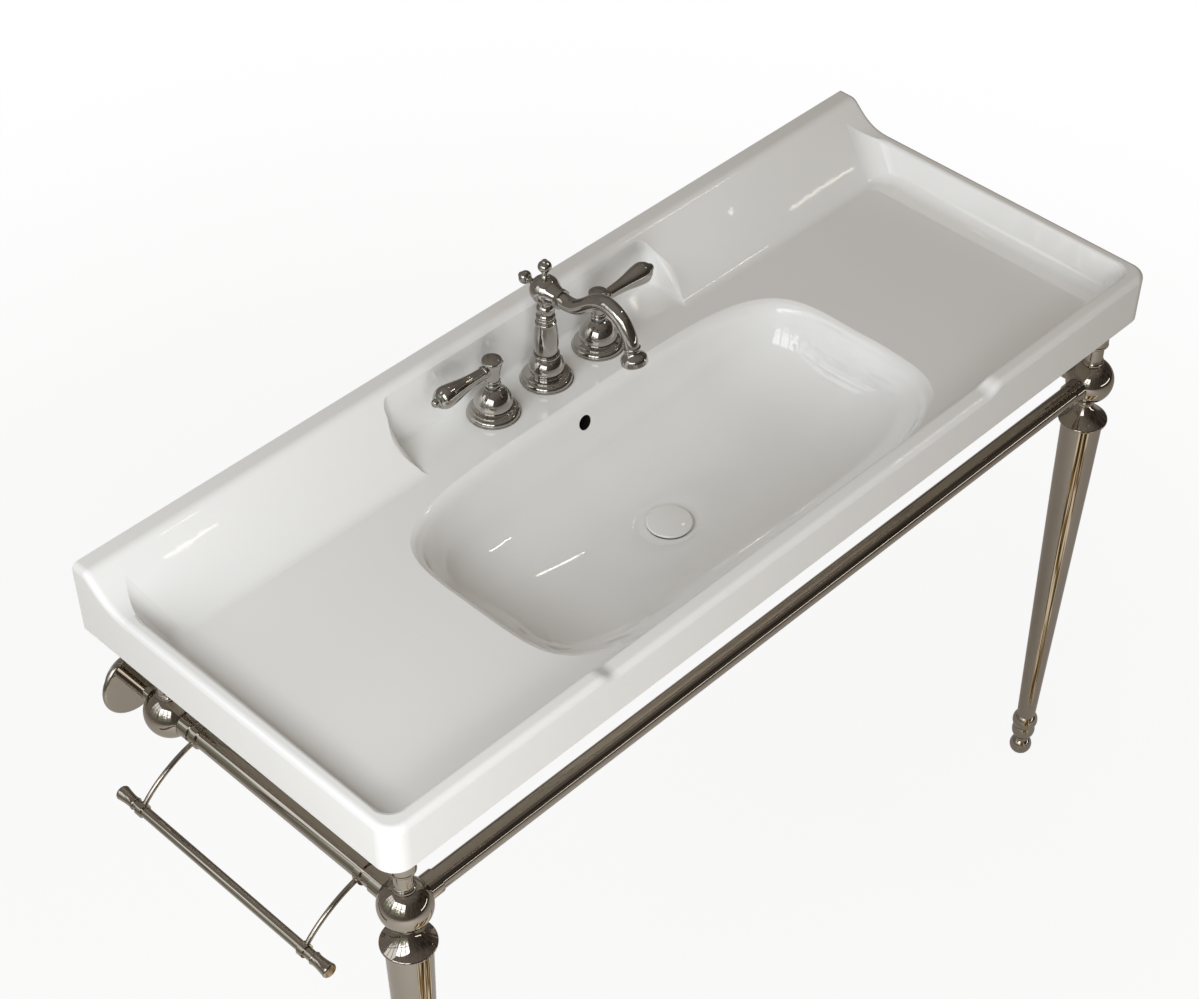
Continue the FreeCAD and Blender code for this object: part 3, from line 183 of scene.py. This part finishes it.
# Towel bar. A 12.7 mm tube hung from the left rail on two bent rods, with a slip ring at both ends
# of each rod and a turned cap on both ends of the bar. All of it nickel plated brass.
dress(tube_deep, "towel_bar", "towel_bar_end_caps", "towel_rail_rings", "towel_bar_rings")
dress(turned_nickel, "towel_rods")


# Basin. One casting of vitreous china, dipped in white gloss glaze and fired. The glaze lies a
# little wavy; the underside, which no one sees, is left bare. The overflow hole in the back of
# the bowl opens into a passage whose inside is painted near-black, a painted shade.
def along(place, axes):
    """The place along each axis named, as wires."""
    return [place.add("ShaderNodeSeparateXYZ", {}, {"Vector": place}, axis) for axis in axes]


def unsigned(wire):
    return wire.add("ShaderNodeMath", {"operation": "ABSOLUTE"}, {0: wire})


bare_tilt, bare_below = -0.3, -0.010
# Where the overflow passage lies, in metres; its inside gets painted shade.
passage_half_width, passage_top = 0.0148, -0.0210
passage_front, passage_lean = -0.13637, 0.225


def glazed(name, light, dark):
    material, shader, place = new_finish(name)
    shader.inputs["Coat Weight"].default_value = 0.5
    shader.inputs["Coat Roughness"].default_value = 0.008
    shader.inputs["IOR"].default_value = 1.52
    upward = along(place.add("ShaderNodeNewGeometry", {}, {}, "Normal"), "Z")[0]
    across, deep, height = along(place, "XYZ")
    bare = stepped(bare_tilt - upward, 0.0, 0.2) * stepped(bare_below - height, 0.0, 0.004)
    grit = clouds(place, scale=700.0, rough=0.7)
    glaze = mixed(clouds(place, scale=5.0, detail=3.0), dark, light)
    biscuit = mixed(grit, (0.70, 0.66, 0.59, 1), (0.80, 0.77, 0.70, 1))
    body = mixed(bare, glaze, biscuit)
    # Inside the overflow passage the glaze colour is painted near-black: painted shade for the dark
    # hole.
    painted_passage_shade = stepped(passage_half_width - unsigned(across), 0.0, 0.0006)
    painted_passage_shade = painted_passage_shade * stepped(deep - passage_lean * height - passage_front, 0.0004, 0.0011)
    painted_passage_shade = painted_passage_shade * stepped(passage_top - height, 0.0, 0.0006)
    feed(mixed(painted_passage_shade, body, (0.003, 0.003, 0.003, 1)), shader, "Base Color")
    feed(0.01 + 0.02 * clouds(place, scale=18.0) + 0.5 * bare + 0.8 * painted_passage_shade, shader, "Roughness")
    waves = clouds(place, scale=38.0, detail=2.0, rough=0.4)
    bumped(waves + 0.5 * bare * grit, shader, strength=0.012, depth=0.004)
    return material


dress(glazed("basin_glaze", (0.88, 0.879, 0.868, 1), (0.85, 0.848, 0.835, 1)), "basin")

# Drain. A nickel plated body with a flange in the bowl's recess, a rubber gasket on each side of
# the basin, a steel washer and a brass nut below, and the tube that leads the water away.
dress(turned_nickel, "drain_body", "drain_tailpiece")


def rubber(name):
    material, shader, place = new_finish(name)
    grain = clouds(place, scale=1400.0, detail=3.0, rough=0.6)
    feed(mixed(grain, (0.018, 0.018, 0.018, 1), (0.045, 0.044, 0.042, 1)), shader, "Base Color")
    feed(0.55 + 0.25 * grain, shader, "Roughness")
    bumped(grain, shader, strength=0.25, depth=0.0002)
    return material


black_rubber = rubber("black_rubber")
dress(black_rubber, "drain_top_gasket", "drain_under_gasket")
dress(turned_steel, "drain_washer")


def brass(name):
    """Machined brass, a little dulled by handling."""
    material, shader, place = new_finish(name)
    shader.inputs["Metallic"].default_value = 1.0
    dull = clouds(place, scale=45.0, detail=6.0, rough=0.6)
    feed(mixed(dull, (0.66, 0.47, 0.20, 1), (0.50, 0.33, 0.13, 1)), shader, "Base Color")
    cut = clouds(stretched(place, 60.0, 60.0, 2600.0), detail=3.0)
    feed(0.20 + 0.12 * cut + 0.15 * dull, shader, "Roughness")
    bumped(cut, shader, strength=0.15, depth=0.0002)
    return material


bare_brass = brass("bare_brass")
dress(bare_brass, "drain_lock_nut")

# Drain cover. A glazed ceramic cap on a steel stem, with a rubber seal under it; a plastic
# cartridge in the drain guides the stem and holds the cover up or down.
dress(glazed("cover_glaze", (0.885, 0.88, 0.865, 1), (0.86, 0.855, 0.838, 1)), "drain_cover")
dress(black_rubber, "drain_cover_seal")
dress(turned_steel, "drain_cover_stem")


def plastic(name):
    material, shader, place = new_finish(name)
    tone = clouds(place, scale=60.0)
    feed(mixed(tone, (0.20, 0.20, 0.205, 1), (0.27, 0.27, 0.28, 1)), shader, "Base Color")
    skin = clouds(place, scale=1100.0, detail=3.0, rough=0.55)
    feed(0.38 + 0.2 * skin, shader, "Roughness")
    bumped(skin, shader, strength=0.15, depth=0.0002)
    return material


grey_plastic = plastic("grey_plastic")
dress(grey_plastic, "drain_cartridge")

# Faucet below the deck. Brass valve bodies, shank and tee with brass nuts, steel washers and
# rubber gaskets at the three holes, and two brass tubes that bring hot and cold to the tee.
dress(bare_brass, "left_valve_body", "right_valve_body", "spout_shank", "spout_tee")
dress(bare_brass, "crossover_tubes", "faucet_lock_nuts")
dress(turned_steel, "faucet_washers", "left_stem", "right_stem")
dress(black_rubber, "faucet_gaskets")
dress(grey_plastic, "left_cartridge", "right_cartridge")

# Spout. Base, column and head are turned and threaded into each other; the swan neck is bent tube
# with a turned outlet, and two finials screw into the head. Brass, with a paler nickel plate.
pale_nickel = (0.45, 0.428, 0.392, 1), (0.505, 0.482, 0.445, 1)
turned_faucet = nickel("turned_faucet", buffed_round, *pale_nickel)
dress(turned_faucet, "spout_base", "spout_column", "spout_head", "spout_outlet", "spout_finials")
dress(nickel("faucet_tube", buffed_deep, *pale_nickel), "spout_arm")
dress(grey_plastic, "spout_aerator")

# Handles. A turned escutcheon sits on the deck; the hub above it turns with the stem and carries
# the lever, and a small screw opposite the lever locks the hub.
dress(turned_faucet, "left_escutcheon", "right_escutcheon", "left_hub", "right_hub")
faucet_levers = nickel("faucet_levers", buffed_across, *pale_nickel)
dress(faucet_levers, "left_lever", "right_lever", "left_set_screw", "right_set_screw")

# Floor. A plain pale floor under the feet, white to the eye, that still takes the soft shadow of
# the stand. Further out it goes over into the white round it, so no edge shows.
floor_z = cad_box[0][2]
floor_side = 16.0
bpy.ops.mesh.primitive_plane_add(size=floor_side, location=(0.0, 0.0, floor_z))
floor = bpy.context.object
floor.name = "studio_floor"
material, shader, place = new_finish("pale_floor")
shader.inputs["Roughness"].default_value = 0.9
shader.inputs["Specular IOR Level"].default_value = 0.0
dust = clouds(place, scale=1.5)
feed(mixed(dust, (0.80, 0.775, 0.735, 1), (0.82, 0.80, 0.76, 1)), shader, "Base Color")


def seen(wire, by_eye, by_mirror):
    """How much of the white shows: so much to the eye, so much in a mirror or through glass."""
    ray = wire.add("ShaderNodeLightPath", {}, {})
    kinds = ("Is Camera Ray", "Is Glossy Ray", "Is Transmission Ray")
    camera, glossy, clear = (Wire(wire.tree, ray.socket.node.outputs[kind]) for kind in kinds)
    return by_eye * camera + by_mirror * stepped(glossy + clear, 0.0, 1.0)


near_white, further_white, mirrored_white = 0.91, 0.09, 0.06
fade_start, fade_end = 0.7, 2.2
white = place.add("ShaderNodeEmission", {}, {"Color": (1, 1, 1, 1), "Strength": 1.0})
lit = Wire(place.tree, shader.outputs[0])
far_out = place.add("ShaderNodeVectorMath", {"operation": "LENGTH"}, {0: place}, "Value")
to_the_eye = near_white + further_white * stepped(far_out, fade_start, fade_end)
share = seen(place, to_the_eye, mirrored_white)
shown = place.add("ShaderNodeMixShader", {}, {0: share, 1: lit, 2: white})
place.tree.links.new(shown.socket, place.tree.nodes["Material Output"].inputs["Surface"])
material.cycles.emission_sampling = "NONE"
floor.data.materials.append(material)

# Studio. White all round to the eye. Two broad soft windows at the left light the basin, with a
# little from the ceiling and the front. A dim brown tent with two window pictures stands round the
# set, seen in mirrors only, so that the polish has something to show.
world = bpy.data.worlds.new("studio")
bpy.context.scene.world = world
world.use_nodes = True
sky = Wire(world.node_tree)
background = world.node_tree.nodes["Background"]
tint = mixed(seen(sky, 1.0, 1.0), (0.135, 0.10, 0.072, 1), (1, 1, 1, 1))
world.node_tree.links.new(tint.socket, background.inputs["Color"])
middle = Vector((0.0, -0.25, 0.0))


def soft_light(name, place, power, colour, width=1.2, height=1.2):
    """A broad lamp that faces the middle of the set."""
    lamp = bpy.data.lights.new(name, "AREA")
    lamp.shape = "RECTANGLE"
    lamp.size = width
    lamp.size_y = height
    lamp.energy = power
    lamp.color = colour
    holder = bpy.data.objects.new(name, lamp)
    holder.location = place
    holder.rotation_euler = (middle - Vector(place)).to_track_quat("-Z", "Y").to_euler()
    holder.visible_camera = False
    holder.visible_glossy = False
    bpy.context.scene.collection.objects.link(holder)


soft_light("window", (-1.66, -1.91, 0.55), power=33.5, colour=(0.965, 0.985, 1.0), height=1.3)
soft_light("upper_window", (-1.84, -0.25, 1.54), power=26.0, colour=(0.90, 0.96, 1.0))
soft_light("ceiling", (0.90, -0.25, 2.23), power=6.8, colour=(1.0, 0.95, 0.88))
soft_light("fill", (0.0, -2.09, 1.54), power=4.5, colour=(0.87, 0.97, 1.0))


def in_the_polish(panel, name):
    """Show a panel in mirrors only. Gives its shader and the place on it."""
    panel.name = name
    panel.visible_camera = False
    panel.visible_diffuse = False
    panel.visible_shadow = False
    material, shader, place = new_finish(name)
    shader.inputs["Base Color"].default_value = (0, 0, 0, 1)
    shader.inputs["Specular IOR Level"].default_value = 0.0
    shader.inputs["Emission Strength"].default_value = 1.0
    material.cycles.emission_sampling = "NONE"
    panel.data.materials.append(material)
    return shader, place


tent_radius = 3.6
lighter_side = (-0.179, 0.213, 0.0)
roof_low, roof_high = 1.6, 3.4
bpy.ops.mesh.primitive_uv_sphere_add(segments=48, ring_count=24, radius=tent_radius, location=middle)
shader, place = in_the_polish(bpy.context.object, "tent")
sockets = {0: place, 1: lighter_side}
lean = place.add("ShaderNodeVectorMath", {"operation": "DOT_PRODUCT"}, sockets, "Value")
fold = stepped(clouds(stretched(place, 2.6, 2.6, 0.12), detail=3.0), 0.36, 0.64)
roof = stepped(along(place, "Z")[0], roof_low, roof_high)
shade = 0.40 + 0.40 * lean + 0.20 * fold + 0.45 * roof
feed(mixed(shade, (0.030, 0.022, 0.016, 1), (0.27, 0.25, 0.228, 1)), shader, "Emission Color")


def toward(start, around, up, away):
    """A point so far from the start, by its turn round the set and its height in degrees."""
    turn = Matrix.Rotation(math.radians(around), 3, "Z") @ Matrix.Rotation(-math.radians(up), 3, "Y")
    return Vector(start) + turn @ Vector((away, 0.0, 0.0))


def card(name, place, aim, width, height, lie=None):
    """A flat panel that faces its aim, upright, or with its width along the line it is to lie by."""
    bpy.ops.mesh.primitive_plane_add(size=1.0)
    panel = bpy.context.object
    face = (Vector(aim) - place).normalized()
    level = lie - lie.dot(face) * face if lie else Vector((0.0, 0.0, 1.0)).cross(face)
    level.normalize()
    turn = Matrix((width * level, height * face.cross(level), face)).transposed().to_4x4()
    panel.matrix_world = Matrix.Translation(place) @ turn
    return in_the_polish(panel, name)


window_up, window_away, window_height = 19.0, 3.0, 2.4
upright_bars, cross_bars = (-0.5, -0.17, 0.17, 0.5), (-0.5, 0.08, 0.5)


def window_view(around, width, daylight):
    """Sky over leaves behind window bars."""
    stand = toward(middle, around, window_up, window_away)
    shader, place = card("window_view", stand, middle, width, window_height)
    side, rise = along(place, "XY")
    crowns = clouds(stretched(place, 5.0, 7.0, 1.0), detail=5.0, rough=0.6)
    leaves = stepped(crowns - 0.9 * rise, 0.42, 0.72)
    glass = mixed(leaves, (daylight, 1.02 * daylight, 1.05 * daylight, 1), (0.31, 0.345, 0.26, 1))
    bars = 0.0
    for at in upright_bars:
        bars = bars + stepped(0.026 - unsigned(side - at), 0.0, 0.006)
    for at in cross_bars:
        bars = bars + stepped(0.018 - unsigned(rise - at), 0.0, 0.005)
    feed(mixed(stepped(bars, 0.0, 1.0), glass, (0.16, 0.15, 0.14, 1)), shader, "Emission Color")


window_view(around=200.0, width=2.5, daylight=3.4)
window_view(around=158.0, width=1.6, daylight=1.4)

# Lamps. Small warm strips above the right of the set, laid along it, for the sharp lights on the
# glaze. Each is placed by the spot on the basin that mirrors it, on the raised back or in the bowl.
lamp_away = 2.9
across_set = Vector((1.0, 0.0, 0.0))


def lamp_strip(seen_at, around, up, width, height, strength):
    stand = toward(seen_at, around, up, lamp_away)
    shader, place = card("lamp", stand, seen_at, width, height, across_set)
    glow = clouds(stretched(place, 6.0, 1.0, 1.0), detail=2.0)
    feed(mixed(glow, (3.0, 2.6, 2.1, 1), (6.0, 5.4, 4.6, 1)), shader, "Emission Color")
    shader.inputs["Emission Strength"].default_value = strength


back_left, back_right, by_faucet = (-0.50, -0.045, 0.055), (0.50, -0.08, 0.02), (0.35, -0.05, 0.04)
bowl_left, bowl_middle = (-0.17, -0.185, -0.08), (-0.03, -0.25, -0.10)
lamp_strip(back_left, around=302.2, up=42.1, width=0.14, height=0.006, strength=1.0)
lamp_strip(back_left, around=302.6, up=43.0, width=0.10, height=0.004, strength=1.0)
lamp_strip(back_right, around=320.3, up=33.3, width=0.18, height=0.006, strength=1.0)
lamp_strip(by_faucet, around=318.7, up=35.0, width=0.015, height=0.012, strength=1.0)
lamp_strip(bowl_left, around=342.0, up=44.0, width=0.30, height=0.07, strength=3.0)
lamp_strip(bowl_middle, around=33.0, up=45.5, width=0.08, height=0.04, strength=2.0)

# Far window. A low strip of daylight at the right front, in uneven panes. The front rail mirrors it
# as the thin light line along its length.
stand = toward(middle, around=300.0, up=-3.0, away=window_away)
shader, place = card("far_window", stand, middle, width=2.6, height=0.16)
panes = clouds(stretched(place, 9.0, 1.0, 1.0), detail=2.0)
feed(mixed(panes, (2.2, 2.2, 2.1, 1), (3.6, 3.6, 3.5, 1)), shader, "Emission Color")

# Blinds. A slatted card stands by each leg, brown and cream in uneven stripes, and draws the band
# of lines that runs down the leg's polish.
blind_away = 0.09
slats_to_metre = 60.0
for name, around, width in (("left_leg", 293.0, 0.14), ("right_leg", 232.0, 0.09)):
    low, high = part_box(name)
    half_way = Vector(((low.x + high.x) / 2, (low.y + high.y) / 2, (floor_z + high.z) / 2))
    stand = toward(half_way, around, 0.0, blind_away)
    shader, place = card("blind", stand, half_way, width, high.z - floor_z)
    side, rise = along(place, "XY")
    slats = clouds(stretched(place, slats_to_metre * width, 4.0, 1.0), detail=2.0)
    wood = mixed(stepped(slats, 0.38, 0.44), (0.02, 0.018, 0.012, 1), (0.30, 0.19, 0.07, 1))
    feed(mixed(stepped(slats, 0.49, 0.57), wood, (1.15, 1.05, 0.86, 1)), shader, "Emission Color")
    inward = 0.5 - unsigned(side)
    feed(stepped(inward, 0.0, 0.06) * stepped(rise, -0.5, -0.44), shader, "Alpha")

# Camera. A long lens at the left front, well above the rim. The focal length, the picture's size
# and the point straight ahead of the lens are in pixels; the shift is the picture's framing.
focal, wide, tall = 2428.884, 1199, 999
ahead_x, ahead_y = 591.86, 639.60
sensor = 36.0
camera_data = bpy.data.cameras.new("camera")
camera_data.sensor_fit = "HORIZONTAL"
camera_data.sensor_width = sensor
camera_data.lens = focal * sensor / wide
camera_data.shift_x = (wide / 2 - ahead_x) / wide
camera_data.shift_y = (ahead_y - tall / 2) / wide
camera_data.clip_end = 100.0
camera = bpy.data.objects.new("camera", camera_data)
bpy.context.scene.collection.objects.link(camera)
eye = (-1.5476, -1.6763, 1.8537)
ahead = Vector((0.4955, 0.4873, -0.719)).normalized()
right = ahead.cross(Vector((0.0, 0.0, 1.0))).normalized()
above = right.cross(ahead)
turn = Matrix((right, above, -ahead)).transposed().to_4x4()
camera.matrix_world = Matrix.Translation(eye) @ turn
bpy.context.scene.camera = camera
bpy.context.scene.view_settings.view_transform = "Standard"
